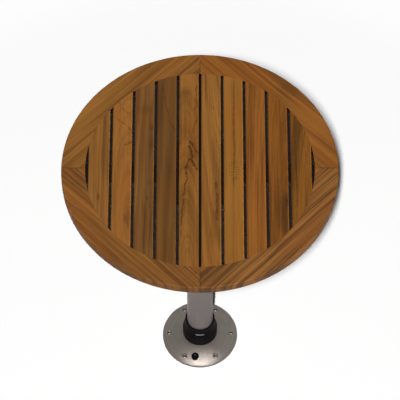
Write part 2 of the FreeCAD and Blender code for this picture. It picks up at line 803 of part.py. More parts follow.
def make_base_collar():
    """Collar round the boss, rounded at its edges and sloping in to the bush's lip."""
    bend = collar_edge_round * (1 - math.sqrt(0.5))
    return revolved([
        (socket_radius, plate_dome_height),
        (collar_radius - collar_edge_round / 2, plate_dome_height),
        (collar_radius, plate_dome_height + collar_edge_round / 2),
        (collar_radius, collar_shoulder - collar_edge_round),
        (collar_radius - bend, collar_shoulder - bend, collar_radius - collar_edge_round, collar_shoulder),
        (bush_lip_radius, socket_top),
        (socket_radius, socket_top),
    ])


def make_button_guide():
    """Cup that guides the button; the spring stands on its floor."""
    centre = at(button_circle, 0)
    cup = rod(guide_radius, guide_bottom, guide_top, centre)
    rim = edges_where(cup, lambda e: is_level(e, guide_top))
    cup = cup.makeFillet(button_crown, rim)
    cup = cup.cut(rod(guide_bore, guide_bottom + guide_floor, guide_top, centre))
    return along_latch(one_solid(cup.cut(rod(stem_radius + stem_play, guide_bottom, guide_top, centre))))


def blade_outline(play, low, high):
    """Outline of the slanting blade between two heights, in the plane of the latch."""
    half = blade_thickness / 2 + play
    low_x = button_circle - (blade_top - low)
    high_x = button_circle - (blade_top - high)
    width = blade_width / 2 + play
    return [at(low_x - half, -width, low), at(low_x + half, -width, low),
            at(high_x + half, -width, high), at(high_x - half, -width, high)]


def make_button():
    """Hollow cap, stem and a blade that slants at 45 degrees through the latch."""
    centre = at(button_circle, 0)
    cap = rod(button_radius, cap_bottom, cap_top, centre)
    crown = edges_where(cap, lambda e: is_level(e, cap_top))
    cap = cap.makeFillet(button_crown, crown)
    cap = cap.cut(rod(spring_radius + spring_wire * 1.5, cap_bottom, hollow_roof, centre))
    stem = rod(stem_radius, blade_top, hollow_roof, centre)
    blade = prism(blade_outline(0, blade_tip, blade_top), at(0, blade_width, 0))
    return along_latch(one_solid(cap.fuse(stem).fuse(blade)))


def make_latch():
    """Sliding latch: its nose stands in the foot plug's groove, the blade drives it."""
    half = latch_width / 2
    nose_low = latch_top - latch_nose_height
    shoulder = nose_bore_radius + latch_nose_length
    body = prism([
        at(shoulder, -half, latch_bottom),
        at(latch_tail, -half, latch_bottom),
        at(latch_tail, -half, latch_top),
        at(latch_nose_tip + latch_nose_chamfer, -half, latch_top),
        at(latch_nose_tip, -half, latch_top - latch_nose_chamfer),
        at(latch_nose_tip, -half, nose_low),
        at(shoulder, -half, nose_low),
    ], at(0, latch_width, 0))
    window = prism(blade_outline(blade_play, latch_bottom, latch_top), at(0, blade_width + blade_play * 2, 0))
    return along_latch(one_solid(body.cut(window)))


def make_cover():
    cover = make_cover_blank()
    for screw in make_cover_screws(running_clearance):
        cover = cover.cut(screw)
    return along_latch(one_solid(cover))


def make_spring():
    """Return spring between the guide's floor and the hollow of the button's cap."""
    low = guide_bottom + guide_floor + spring_wire
    height = hollow_roof - spring_wire - low
    coil = Part.makeHelix(height / spring_turns, height, spring_radius)
    wire = Part.Wire(Part.makeCircle(spring_wire, at(spring_radius, 0, 0), at(0, 1, 0)))
    spring = Part.Wire(coil.Edges).makePipeShell([wire], True, True)
    spring.translate(at(button_circle, 0, low))
    return along_latch(Part.Solid(spring) if spring.ShapeType == "Shell" else spring)


def make_base():
    save("base_plate", make_plate())
    save("base_bush", make_base_bush())
    save("base_collar", make_base_collar())
    save("button_guide", make_button_guide())
    save("release_button", make_button())
    save("button_spring", make_spring())
    save("latch_bolt", make_latch())
    save("latch_cover", make_cover())
    save("latch_cover_screws", *[along_latch(screw) for screw in make_cover_screws()])


os.makedirs("parts", exist_ok=True)
make_base()
make_column()
make_table_top()
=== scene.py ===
import math

import bmesh
import bpy
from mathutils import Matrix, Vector


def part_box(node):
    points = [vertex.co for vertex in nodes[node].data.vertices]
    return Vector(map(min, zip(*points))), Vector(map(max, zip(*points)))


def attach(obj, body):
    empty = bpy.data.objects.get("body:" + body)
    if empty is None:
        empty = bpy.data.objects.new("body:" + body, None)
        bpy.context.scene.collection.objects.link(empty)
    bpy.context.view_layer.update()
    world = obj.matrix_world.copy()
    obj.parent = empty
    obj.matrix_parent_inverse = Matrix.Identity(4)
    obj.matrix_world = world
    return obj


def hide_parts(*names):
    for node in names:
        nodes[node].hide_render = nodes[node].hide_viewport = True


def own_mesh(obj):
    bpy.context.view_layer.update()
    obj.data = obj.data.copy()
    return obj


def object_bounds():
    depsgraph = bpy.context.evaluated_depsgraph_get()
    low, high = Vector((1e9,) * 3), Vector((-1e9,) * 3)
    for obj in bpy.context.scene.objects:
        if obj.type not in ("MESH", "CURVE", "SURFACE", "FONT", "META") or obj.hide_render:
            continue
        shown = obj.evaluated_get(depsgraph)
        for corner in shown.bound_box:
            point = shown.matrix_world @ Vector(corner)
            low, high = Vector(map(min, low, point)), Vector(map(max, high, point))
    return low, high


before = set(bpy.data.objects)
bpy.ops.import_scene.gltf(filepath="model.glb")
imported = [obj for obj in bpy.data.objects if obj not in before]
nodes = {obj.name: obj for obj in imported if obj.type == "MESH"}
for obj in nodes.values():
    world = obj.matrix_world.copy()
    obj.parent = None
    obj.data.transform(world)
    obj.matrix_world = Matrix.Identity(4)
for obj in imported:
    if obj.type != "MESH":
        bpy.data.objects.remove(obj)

# Telescoping pedestal table: finishes, small pieces, light and camera. Metres, +Z up, the front is -Y.

cad_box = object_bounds()
slat_count = 10
slat_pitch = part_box("slat_02")[0].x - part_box("slat_01")[0].x
slat_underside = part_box("slat_05")[0].z
batten_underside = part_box("long_batten")[0].z
top_face = cad_box[1].z
ring_inner_radius = 0.248

# Camera: how far in front of the column and above the floor, degrees down from level, and pixels.
camera_distance = 3.064
camera_height = 5.496
camera_tilt = 57.91
camera_focal = 2620.0
picture_width = 400.0

# The soft box stands behind the camera, a little to the left. What it sends down through the gaps
# lands about half a slat's pitch beside the floor that the camera sees through them.
box_height = 9.0
box_distance = camera_distance * (box_height - top_face) / (camera_height - top_face)
box_aside = slat_pitch / 2 * box_height / top_face
box_width = 0.17
box_length = 0.6
box_power = 10.0
box_strength = 1.12

# Low lamp behind the table, in degrees and watts per square metre.
back_elevation = 1.6
back_spread = 2.5
back_strength = 0.8

# The white all round gives this share of its brightness as light.
air_light = 0.004

# The floor is lit within the first radius and plain white beyond the second. It throws back a share
# of the light that falls on it.
lit_floor_radius = 0.86
white_floor_radius = 1.2
floor_bounce = 0.4
floor_reach = 30.0
floor_gap = 0.0002


# ------------------------------------------------------------------ shader maths
class Socket:
    """A value in a finish; arithmetic on it adds Math nodes."""

    def __init__(self, finish, output):
        self.finish = finish
        self.output = output

    def math(self, operation, *others):
        sockets = dict(enumerate((self,) + others))
        return self.finish.add("ShaderNodeMath", {"operation": operation}, sockets)

    def __add__(self, other):
        return self.math("ADD", other)

    __radd__ = __add__

    def __mul__(self, other):
        return self.math("MULTIPLY", other)

    __rmul__ = __mul__

    def __sub__(self, other):
        return self.math("SUBTRACT", other)

    def __rsub__(self, other):
        return self * -1.0 + other

    def __truediv__(self, other):
        return self.math("DIVIDE", other)

    def __rtruediv__(self, other):
        return self.math("POWER", -1.0) * other

    def __pow__(self, other):
        return self.math("POWER", other)

    def __abs__(self):
        return self.math("ABSOLUTE")

    def root(self):
        return self.math("SQRT")

    def at_least(self, other):
        return self.math("MAXIMUM", other)

    def at_most(self, other):
        return self.math("MINIMUM", other)

    def ramp(self, low, high):
        """0 at low, 1 at high, smooth between them; the other way round where low is the larger."""
        if low > high:
            return 1 - self.ramp(high, low)
        return self.finish.add("ShaderNodeMapRange", {"interpolation_type": "SMOOTHSTEP"},
                               {"Value": self, "From Min": low, "From Max": high})


class Finish:
    """The nodes of a material, a lamp or the world, while they are being made."""

    def __init__(self, owner):
        owner.use_nodes = True
        self.owner = owner
        self.tree = owner.node_tree
        self.tree.nodes.clear()

    def add(self, kind, settings=None, sockets=None, output=0):
        """Any node: its type, its settings, then the values or links of its sockets."""
        node = self.tree.nodes.new(kind)
        for name, value in (settings or {}).items():
            setattr(node, name, value)
        for name, value in (sockets or {}).items():
            if isinstance(value, Socket):
                self.tree.links.new(value.output, node.inputs[name])
            else:
                node.inputs[name].default_value = value
        return Socket(self, node.outputs[output]) if node.outputs else None

    def place(self):
        """The point on the piece, in metres."""
        return self.add("ShaderNodeTexCoord", output="Object")

    def axes(self):
        """The three coordinates of the point on the piece."""
        place = self.place()
        return [self.add("ShaderNodeSeparateXYZ", None, {"Vector": place}, axis) for axis in "XYZ"]

    def point(self, x, y, z):
        return self.add("ShaderNodeCombineXYZ", None, {"X": x, "Y": y, "Z": z})

    def noise(self, vector, detail=2.0, roughness=0.5, scale=1.0):
        return self.add("ShaderNodeTexNoise", {"noise_dimensions": "3D"},
                        {"Vector": vector, "Scale": scale, "Detail": detail, "Roughness": roughness})

    def blend(self, factor, first, second):
        """Mix of two colours."""
        return self.add("ShaderNodeMix", {"data_type": "RGBA"}, {0: factor, 6: first, 7: second}, 2)

    def bump(self, height, strength, depth):
        return self.add("ShaderNodeBump", None, {"Height": height, "Strength": strength, "Distance": depth})

    def surface(self, **sockets):
        """Principled surface; the names of the sockets are written with underscores."""
        values = {name.replace("_", " "): value for name, value in sockets.items()}
        return self.end("ShaderNodeOutputMaterial", self.add("ShaderNodeBsdfPrincipled", None, values))

    def end(self, kind, shader):
        """The output node; gives back the material, lamp or world."""
        self.add(kind, None, {"Surface": shader})
        return self.owner


def material(name):
    return Finish(bpy.data.materials.new(name))


def colour(red, green, blue):
    """Screen colour, 0 to 255, as the scene's linear colour."""
    def linear(value):
        share = value / 255
        return share / 12.92 if share <= 0.04045 else ((share + 0.055) / 1.055) ** 2.4
    return (linear(red), linear(green), linear(blue), 1.0)


def grey(share):
    return (share, share, share, 1.0)


def toned(tone, share):
    """A colour made darker, or paler where the share is over 1."""
    return (tone[0] * share, tone[1] * share, tone[2] * share, 1.0)


def dress(paint, *names):
    for name in names:
        slots = nodes[name].data.materials
        slots.clear()
        slots.append(paint)


# ------------------------------------------------------------------ teak
# Painted shade on the faces inside the gaps and on the battens seen through them.
gap_painted_shade = colour(24, 14, 8)

# Noise waves per metre across the grain.
year_lines = 150
broad_lines = 48
streak_lines = 190
fibre_lines = 1100
pore_lines = 700


def knots_and_stains(x, y, knots, stains):
    """How far the year rings swing out round the knots, and how dark the knots and stains are."""
    knot_stretch = 1.9
    swirl = 0.0
    shade = 0.0
    for knot_x, knot_y, size, strength in knots:
        reach = ((x - knot_x) / size) ** 2 + ((y - knot_y) / (size * knot_stretch)) ** 2
        near = 1 / (1 + reach * reach)
        swirl = near * size * 0.8 + swirl
        shade = near * strength + shade
    for stain_x, stain_y, wide, long, strength in stains:
        reach = ((x - stain_x) / wide) ** 2 + ((y - stain_y) / long) ** 2
        shade = (1 / (1 + reach * reach)) * strength + shade
    return swirl, shade


def vein_lines(finish, x, y, seed, veins):
    """Dark veins along their courses, which curl a little on the way."""
    curl_x = (finish.noise(finish.point(x * 75, y * 60, seed + 21.0)) - 0.5) * 0.011
    curl_y = (finish.noise(finish.point(x * 60, y * 60, seed + 27.0)) - 0.5) * 0.016
    lines = 0.0
    for width, strength, course in veins:
        for (x0, y0), (x1, y1) in zip(course, course[1:]):
            length = math.hypot(x1 - x0, y1 - y0)
            step_x, step_y = (x1 - x0) / length, (y1 - y0) / length
            travel = ((x - x0) * step_x + (y - y0) * step_y).at_least(0.0).at_most(length)
            gap_x = x - x0 - travel * step_x + curl_x
            gap_y = y - y0 - travel * step_y + curl_y
            distance = (gap_x * gap_x + gap_y * gap_y).root()
            lines = (distance.ramp(width, width * 0.2) * strength).at_least(lines)
    return lines


def ripple_lines(finish, x, y, seed, shiver, ripple):
    """A wavering line along the board, with a ladder of short ripples across it."""
    middle, low, high = ripple
    fade = 0.03
    foot, crown, ladder_fade = -0.034, 0.020, 0.008
    run = (abs(x - middle + shiver * 0.012).ramp(0.0030, 0.0006)
           * y.ramp(low, low + fade) * y.ramp(high, high - fade))
    rungs = finish.noise(finish.point(x * 60, y * 330, seed), detail=1.0).ramp(0.50, 0.60)
    ladder = (rungs * abs(x - middle).ramp(0.013, 0.008)
              * y.ramp(foot, foot + ladder_fade) * y.ramp(crown, crown - ladder_fade))
    return (run * 0.55).at_least(ladder * 0.42)


def gap_faces(x, y, z, batten):
    """1 on the faces inside the gaps, and on what a batten shows there, where the shade is painted."""
    within_ring = (x * x + y * y).root().ramp(ring_inner_radius + 0.020, ring_inner_radius + 0.014)
    if batten:
        return within_ring * z.ramp(batten_underside + 0.0005, batten_underside + 0.0025)
    return (within_ring * z.ramp(top_face - 0.0008, top_face - 0.0022)
            * z.ramp(slat_underside, slat_underside + 0.0005))


def teak(name, light, dark, seed, heart, depth, lean=0.0, grain=90.0, figure=1.0, knots=(), stains=(),
         bands=(), veins=(), ripple=None, sides=None, seam=False, batten=False):
    """Oiled teak.

    grain is the direction of the fibres, in degrees from +X. heart is how far across the board the
    log's heart lies, depth how far below it, and lean how fast it dives along the board, which draws
    arches. In metres, knots are (x, y, size, strength), stains (x, y, half width, half length, strength),
    bands (offset across the grain, half width, strength) and veins (width, strength, points). ripple is
    the x, low y and high y of a rippled line. sides are the x of a slat's left and right arris. A seam
    runs where two quarters of the ring meet. A batten lies under the slats.
    """
    finish = material(name)
    x, y, z = finish.axes()
    turn = math.radians(grain)
    along = x * math.cos(turn) + y * math.sin(turn)
    across = y * math.cos(turn) - x * math.sin(turn)
    wander = finish.noise(finish.point(across * 9, along * 3.2, seed)) - 0.5
    shiver = finish.noise(finish.point(across * 40, along * 9, seed + 7.3)) - 0.5
    swirl, shade = knots_and_stains(x, y, knots, stains)

    # Year rings are cylinders round the log's heart, cut by the board's faces.
    offset = across - heart + wander * 0.022 + shiver * 0.0025
    below = along * lean + depth + swirl
    radius = (offset * offset + below * below).root()
    rings = finish.noise(finish.point(radius * year_lines, seed, 0.0), detail=4.0, roughness=0.7)
    broad = finish.noise(finish.point(radius * broad_lines, seed + 3.1, along * 1.5))
    streaks = finish.noise(finish.point(across * streak_lines, along * 4, z * 50 + seed), 4.0, 0.7)
    fibres = finish.noise(finish.point(across * fibre_lines, along * 26, z * 300 + seed))
    pores = finish.noise(finish.point(across * pore_lines, along * 60, z * 200 + seed + 5.0)).ramp(0.60, 0.72)

    # Most of a noise lies between these two values.
    low, high = 0.36, 0.64
    tone = rings.ramp(low, high) * 0.42 + broad.ramp(low, high) * 0.26 + streaks.ramp(low, high) * 0.32
    tone = (tone - 0.5) * (figure * 1.5) + 0.52
    tone = tone + (fibres - 0.5) * 0.35 - pores * 0.16
    for middle, width, strength in bands:
        distance = (across - middle + wander * 0.014) / width
        tone = tone - (1 / (1 + distance ** 4)) * strength
    tone = tone - shade
    surface = finish.blend(tone.at_least(0.0).at_most(1.0), dark, light)

    # Parts of a board drift paler, others redder.
    drift = finish.noise(finish.point(across * 16, along * 5, seed + 11.0), detail=1.0)
    surface = finish.blend(drift.ramp(0.45, 0.7) * 0.25, surface, toned(light, 1.12))
    russet = (light[0] * 0.90, light[1] * 0.68, light[2] * 0.58, 1.0)
    surface = finish.blend(drift.ramp(0.52, 0.30) * 0.26, surface, russet)

    # Dark veins and ripples, broken up by blotches.
    lines = vein_lines(finish, x, y, seed, veins) if veins else 0.0
    if ripple:
        lines = ripple_lines(finish, x, y, seed, shiver, ripple).at_least(lines)
    if veins or ripple:
        blotches = finish.noise(finish.point(x * 130, y * 90, seed + 33.0)).ramp(0.30, 0.60)
        surface = finish.blend(lines * (blotches * 0.5 + 0.5), surface, toned(dark, 0.3))
    # Painted shade along a slat's left edge and a painted highlight on its right arris.
    if sides:
        left, right = sides
        surface = finish.blend(x.ramp(left + 0.0040, left + 0.0005) * 0.4, surface, toned(dark, 0.6))
        surface = finish.blend(x.ramp(right - 0.0026, right - 0.0012) * 0.5, surface, toned(light, 1.45))
    # The quarters of the ring meet in a dark line.
    if seam:
        from_seam = abs(x).at_most(abs(y))
        surface = finish.blend(from_seam.ramp(0.0009, 0.0003) * 0.75, surface, toned(dark, 0.25))
    # Painted shade on the faces inside the gaps and on the batten faces under them.
    surface = finish.blend(gap_faces(x, y, z, batten), surface, gap_painted_shade)

    height = fibres * 0.5 + rings * 0.3 - pores * 0.3
    return finish.surface(
        Base_Color=surface,
        Roughness=0.52 + (streaks - 0.5) * 0.2,
        Specular_IOR_Level=0.1,
        Normal=finish.bump(height, strength=0.35, depth=0.0003),
    )


def dress_slat(number, light, dark, **figure):
    """Teak for one slat, counted from the left."""
    name = "slat_%02d" % number
    low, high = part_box(name)
    dress(teak("teak_" + name, light, dark, float(number), sides=(low.x, high.x), **figure), name)


def dress_quarter(place, number, light, dark, **figure):
    """Teak for one quarter of the ring."""
    name = "ring_" + place
    dress(teak("teak_" + name, light, dark, 20.0 + number, seam=True, **figure), name)


def dress_slats():
    """Each slat is cut from another plank."""
    dress_slat(1, colour(152, 103, 49), colour(96, 63, 29), heart=0.07, depth=0.03, figure=0.85,
               knots=[(-0.218, -0.074, 0.0035, 0.6)],
               stains=[(-0.203, 0.03, 0.012, 0.05, 0.25)])
    dress_slat(2, colour(158, 103, 47), colour(110, 70, 30), heart=0.152, depth=0.02, lean=0.16, figure=0.75,
               knots=[(-0.158, -0.127, 0.0050, 0.5)],
               veins=[(0.0024, 0.55, [(-0.178, 0.175), (-0.168, 0.152), (-0.158, 0.142), (-0.144, 0.151)]),
                      (0.0022, 0.45, [(-0.187, 0.133), (-0.170, 0.119), (-0.158, 0.108), (-0.150, 0.096)]),
                      (0.0026, 0.60, [(-0.163, 0.059), (-0.156, 0.061), (-0.149, 0.069)]),
                      (0.0016, 0.35, [(-0.160, 0.059), (-0.163, 0.045), (-0.168, 0.028)])])
    dress_slat(3, colour(128, 86, 42), colour(78, 51, 25), heart=0.09, depth=0.03, lean=0.05, figure=0.8,
               knots=[(-0.105, 0.105, 0.0045, 0.45), (-0.105, 0.062, 0.0055, 0.45),
                      (-0.110, -0.037, 0.003, 0.45), (-0.113, -0.077, 0.002, 0.5),
                      (-0.107, -0.097, 0.002, 0.5)],
               stains=[(-0.117, 0.150, 0.016, 0.012, 0.25), (-0.108, -0.13, 0.016, 0.06, 0.15)])
    dress_slat(4, colour(114, 75, 34), colour(82, 54, 25), heart=0.03, depth=0.06, lean=0.03, figure=0.8,
               stains=[(-0.085, 0.14, 0.012, 0.08, 0.4), (-0.060, -0.02, 0.02, 0.06, 0.2)],
               veins=[(0.0024, 0.60, [(-0.083, 0.213), (-0.075, 0.170), (-0.068, 0.127), (-0.050, 0.087)])])
    dress_slat(5, colour(148, 98, 43), colour(98, 63, 28), heart=0.03, depth=0.04, lean=0.1,
               knots=[(-0.0205, 0.028, 0.006, 0.6)],
               stains=[(-0.018, 0.036, 0.011, 0.034, 0.35), (-0.034, 0.196, 0.012, 0.012, 0.35),
                       (-0.008, 0.175, 0.006, 0.03, 0.25), (-0.006, -0.15, 0.008, 0.07, 0.25)],
               veins=[(0.0042, 0.95, [(-0.020, 0.068), (-0.0235, 0.053), (-0.020, 0.040),
                                      (-0.017, 0.030), (-0.023, 0.022), (-0.030, -0.003)]),
                      (0.0034, 0.85, [(-0.020, 0.068), (-0.015, 0.055), (-0.003, 0.038)]),
                      (0.0042, 0.95, [(-0.020, 0.027), (-0.013, 0.007), (-0.006, -0.004)]),
                      (0.0032, 0.85, [(-0.030, -0.003), (-0.028, -0.023), (-0.033, -0.053),
                                      (-0.037, -0.090)]),
                      (0.0026, 0.70, [(-0.037, -0.090), (-0.040, -0.133), (-0.042, -0.170)]),
                      (0.0028, 0.70, [(-0.008, 0.215), (-0.008, 0.182), (-0.005, 0.163), (-0.012, 0.150),
                                      (-0.005, 0.127), (-0.012, 0.110), (-0.017, 0.093)])])
    dress_slat(6, colour(153, 102, 46), colour(104, 69, 31), heart=-0.05, depth=0.04, lean=-0.08, figure=1.15,
               stains=[(0.0375, -0.100, 0.0045, 0.040, 0.7), (0.028, -0.175, 0.006, 0.02, 0.3)],
               veins=[(0.0018, 0.35, [(0.020, 0.170), (0.030, 0.152), (0.041, 0.162)]),
                      (0.0016, 0.30, [(0.014, 0.060), (0.012, 0.010), (0.016, -0.050)]),
                      (0.0052, 0.62, [(0.0345, -0.040), (0.0365, -0.085), (0.0365, -0.130)]),
                      (0.0022, 0.30, [(0.026, -0.060), (0.028, -0.110), (0.022, -0.170)])])
    dress_slat(7, colour(158, 105, 44), colour(113, 74, 31), heart=-0.10, depth=0.05, figure=0.7,
               ripple=(0.0735, -0.060, 0.240),
               veins=[(0.0015, 0.35, [(0.073, 0.120), (0.078, 0.060), (0.074, 0.020)])])
    dress_slat(8, colour(146, 91, 37), colour(98, 57, 23), heart=-0.158, depth=0.028, lean=0.06, figure=1.15,
               veins=[(0.0015, 0.30, [(0.112, -0.100), (0.126, 0.000), (0.140, 0.060)]),
                      (0.0015, 0.30, [(0.122, 0.195), (0.128, 0.170), (0.124, 0.120)])])
    dress_slat(9, colour(138, 84, 31), colour(78, 48, 18), heart=-0.19, depth=0.02, lean=0.09, figure=1.1,
               knots=[(0.185, -0.087, 0.006, 0.5)],
               stains=[(0.176, -0.120, 0.011, 0.045, 0.55), (0.158, 0.120, 0.006, 0.05, 0.25)],
               veins=[(0.0016, 0.40, [(0.166, -0.020), (0.171, -0.070), (0.184, -0.100)]),
                      (0.0040, 0.80, [(0.186, -0.066), (0.187, -0.092)]),
                      (0.0020, 0.45, [(0.172, -0.085), (0.176, -0.120), (0.168, -0.150)]),
                      (0.0018, 0.40, [(0.182, -0.100), (0.181, -0.135)])])
    dress_slat(10, colour(139, 87, 33), colour(81, 52, 19), heart=-0.25, depth=0.03, lean=0.1, figure=1.1,
               stains=[(0.206, 0.05, 0.011, 0.09, 0.4)],
               veins=[(0.0018, 0.40, [(0.218, 0.120), (0.226, 0.060), (0.232, 0.010)]),
                      (0.0018, 0.40, [(0.206, 0.020), (0.208, -0.060), (0.204, -0.110)])])


def dress_ring():
    """The grain of each quarter runs across its corner."""
    dress_quarter("rear_left", 1, colour(148, 99, 45), colour(96, 61, 27), grain=45.0, heart=0.30,
                  depth=0.06, figure=1.15, bands=[(0.205, 0.006, 0.12), (0.262, 0.008, 0.15)])
    dress_quarter("rear_right", 2, colour(150, 95, 40), colour(100, 61, 26), grain=-45.0, heart=0.16,
                  depth=0.04, figure=1.1, stains=[(0.195, 0.208, 0.022, 0.022, 0.4)])
    dress_quarter("front_left", 3, colour(146, 95, 44), colour(88, 57, 27), grain=-45.0, heart=-0.30,
                  depth=0.05, figure=1.2, bands=[(-0.214, 0.010, 0.25), (-0.262, 0.010, 0.2)],
                  veins=[(0.0018, 0.55, [(-0.012, -0.262), (-0.002, -0.284)])])
    dress_quarter("front_right", 4, colour(149, 99, 50), colour(84, 55, 28), grain=45.0, heart=-0.18,
                  depth=0.05, figure=1.3, bands=[(-0.202, 0.010, 0.3)],
                  stains=[(0.165, -0.183, 0.02, 0.02, 0.25)])


def dress_battens():
    """Plain teak under the slats."""
    light, dark = colour(132, 86, 42), colour(84, 53, 26)
    dress(teak("teak_cross_batten", light, dark, 31.0, heart=0.05, depth=0.03, grain=0.0, batten=True),
          "cross_batten", "mounting_blocks")
    dress(teak("teak_long_batten", light, dark, 32.0, heart=0.04, depth=0.03, batten=True),
          "long_batten", "ring_splines")


# ------------------------------------------------------------------ metal and plastic
def anodised_tube():
    """Satin anodised aluminium with faint drawing lines down the tube."""
    finish = material("anodised_aluminium")
    x, y, z = finish.axes()
    lines = finish.noise(finish.point(x * 1500, y * 1500, z * 5))
    clouds = finish.noise(finish.point(x * 22, y * 22, z * 7))
    surface = finish.blend(lines.ramp(0.3, 0.7) * 0.5 + clouds.ramp(0.35, 0.7) * 0.3,
                           colour(120, 112, 109), colour(140, 131, 128))
    return finish.surface(
        Base_Color=surface,
        Metallic=0.12,
        Roughness=0.42 + (lines - 0.5) * 0.12,
        Specular_IOR_Level=0.08,
        Normal=finish.bump(lines, strength=0.12, depth=0.0001),
    )


def turned_metal():
    """Lathe-turned plate: fine grooves round the axis spread the light into a fan."""
    finish = material("turned_plate_metal")
    x, y, z = finish.axes()
    radius = (x * x + y * y).root()
    grooves = finish.noise(finish.point(radius * 5200, z * 5200, 0.0), detail=3.0, roughness=0.7)
    bands = finish.noise(finish.point(radius * 420, z * 420, 4.0))
    clouds = finish.noise(finish.point(x * 18, y * 18, z * 18))
    surface = finish.blend(bands.ramp(0.3, 0.7) * 0.35 + clouds.ramp(0.35, 0.65) * 0.35,
                           colour(103, 97, 92), colour(124, 117, 111))
    return finish.surface(
        Base_Color=surface,
        Metallic=1.0,
        Roughness=0.37 + (grooves - 0.5) * 0.16,
        Normal=finish.bump(grooves, strength=0.8, depth=0.0003),
    )


def black_moulding():
    """Satin black moulded plastic with a fine spark texture."""
    finish = material("black_moulded_plastic")
    sparks = finish.noise(finish.place(), detail=3.0, roughness=0.6, scale=2600.0)
    scuffs = finish.noise(finish.place(), detail=3.0, roughness=0.6, scale=85.0)
    surface = finish.blend(scuffs.ramp(0.45, 0.75) * 0.6, colour(8, 7, 9), colour(18, 16, 19))
    return finish.surface(
        Base_Color=surface,
        Roughness=0.36 + scuffs * 0.16,
        Specular_IOR_Level=0.05,
        Normal=finish.bump(sparks, strength=0.2, depth=0.00006),
    )


def grey_ring_plastic():
    """Grey plastic, mottled between two greys."""
    finish = material("grey_button_ring_plastic")
    mottle = finish.noise(finish.place(), detail=3.0, roughness=0.6, scale=900.0)
    surface = finish.blend(mottle.ramp(0.35, 0.65), colour(52, 50, 54), colour(84, 82, 86))
    return finish.surface(
        Base_Color=surface,
        Roughness=0.30 + mottle * 0.1,
        Specular_IOR_Level=0.3,
        Normal=finish.bump(mottle, strength=0.1, depth=0.00003),
    )


def bright_steel(name, tint, roughness):
    """Machined steel."""
    finish = material(name)
    x, y, z = finish.axes()
    marks = finish.noise(finish.point(x * 900, y * 900, z * 2600))
    surface = finish.blend(marks.ramp(0.3, 0.7), toned(tint, 0.85), tint)
    return finish.surface(
        Base_Color=surface,
        Metallic=1.0,
        Roughness=roughness + (marks - 0.5) * 0.12,
        Normal=finish.bump(marks, strength=0.15, depth=0.00005),
    )


def pale_mark():
    """Pad-printed index mark."""
    finish = material("pale_index_mark")
    grain = finish.noise(finish.place(), scale=1800.0)
    surface = finish.blend(grain.ramp(0.35, 0.65), colour(168, 165, 172), colour(196, 194, 199))
    return finish.surface(Base_Color=surface, Roughness=0.5)


def staged(*endings):
    """The names of the pieces that the lower and the middle stage both have."""
    return [stage + ending for stage in ("lower_", "middle_") for ending in endings]


def dress_column(stainless):
    dress(anodised_tube(), "lower_tube", "middle_tube", "upper_tube")
    dress(turned_metal(), "base_plate", "top_bracket")
    dress(black_moulding(), "base_bush", "base_collar", "button_guide", "release_button", "foot_plug",
          "middle_foot_glide", "upper_foot_glide", *staged("top_bush", "clamp_collar", "clamp_lever"))
    dress(stainless, "latch_bolt", "latch_cover", "latch_cover_screws", "foot_screws", "bracket_screws",
          "bracket_set_screws", *staged("clamp_bolt", "clamp_saddle", "clamp_pin"))


# ------------------------------------------------------------------ small pieces
def add_object(name, data):
    made = bpy.data.objects.new(name, data)
    bpy.context.scene.collection.objects.link(made)
    return made


def mesh_object(name, mesh, paint):
    data = bpy.data.meshes.new(name)
    mesh.to_mesh(data)
    mesh.free()
    data.materials.append(paint)
    return add_object(name, data)


def piece(name, mesh, paint, body):
    """A finished mesh as a piece that rides on a body."""
    made = mesh_object(name, mesh, paint)
    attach(made, body)
    return made


def lathe(mesh, outline, centre, steps=20):
    """Turned form round an upright axis, from (radius, height) pairs; the ends on the axis close it."""
    rows = []
    for radius, height in outline:
        if radius == 0:
            rows.append([mesh.verts.new((centre[0], centre[1], height))])
            continue
        rows.append([mesh.verts.new((centre[0] + radius * math.cos(2 * math.pi * i / steps),
                                     centre[1] + radius * math.sin(2 * math.pi * i / steps), height))
                     for i in range(steps)])
    for low, high in zip(rows, rows[1:]):
        for i in range(steps):
            j = (i + 1) % steps
            corners = [low[i % len(low)], low[j % len(low)], high[j % len(high)], high[i % len(high)]]
            face = mesh.faces.new(list(dict.fromkeys(corners)))
            face.smooth = True


def cross_recess(mesh, centre, height, reach, width, depth):
    """Cross-shaped driver recess in a screw that is seen from below, as a thin dark inlay of painted shade.
    """
    # The screws have stopped at odd angles, worked out from their places.
    degrees_per_millimetre = 19
    turn = math.radians(degrees_per_millimetre * (centre[0] + centre[1]) * 1000)
    taper = 0.7
    outline = []
    for quarter in range(4):
        angle = turn + quarter * math.pi / 2
        for along, aside in ((width, -width), (reach, -width), (reach, width)):
            outline.append((along * math.cos(angle) - aside * math.sin(angle),
                            along * math.sin(angle) + aside * math.cos(angle)))

    def edge(scale, level):
        return [mesh.verts.new((centre[0] + x * scale, centre[1] + y * scale, level)) for x, y in outline]

    rim = edge(1.0, height)
    inner = edge(taper, height + depth)
    for i in range(len(rim)):
        j = (i + 1) % len(rim)
        mesh.faces.new((rim[i], inner[i], inner[j], rim[j]))
    mesh.faces.new(inner)
    mesh.faces.new(list(reversed(rim)))


def batten_screw_spots():
    """Pairs of screws along both battens outside the blocks, and one at each end into the ring."""
    pair_aside_x, pair_aside_y = 0.013, 0.012
    blocks_reach = 0.09
    ring_reach = 0.266
    spots = []
    for number in range(1, slat_count + 1):
        first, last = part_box("slat_%02d" % number)
        middle = (first.x + last.x) / 2
        if abs(middle) > blocks_reach:
            spots += [(middle, -pair_aside_y), (middle, pair_aside_y)]
    spots += [(-ring_reach, 0.0), (ring_reach, 0.0), (0.0, -ring_reach), (0.0, ring_reach)]
    for y in (-0.20, -0.12, 0.12, 0.20):
        spots += [(-pair_aside_x, y), (pair_aside_x, y)]
    return spots


